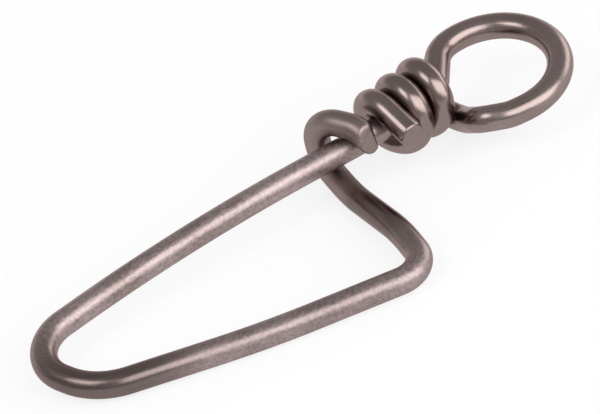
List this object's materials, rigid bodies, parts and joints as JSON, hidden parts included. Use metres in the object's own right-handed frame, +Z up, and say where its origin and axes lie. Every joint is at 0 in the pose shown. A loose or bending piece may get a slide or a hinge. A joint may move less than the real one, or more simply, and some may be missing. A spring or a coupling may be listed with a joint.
{
  "type": "coastlock snap",
  "caption": "Fishing snap bent from one spring wire: a round eye, a coil wrapped round the shank and a long tapered loop whose free end hooks over the shank.",
  "frame": {"origin": "centre of the eye", "axes": "+X along the shank towards the eye, +Z up as the snap lies on a table, hook over the shank on the upper side"},
  "size_m": [0.0484, 0.02, 0.007],
  "materials": {
    "wire": "semi-gloss dark nickel tone"
  },
  "bodies": {
    "root": {"snap_wire": "wire"}
  },
  "joints": []
}
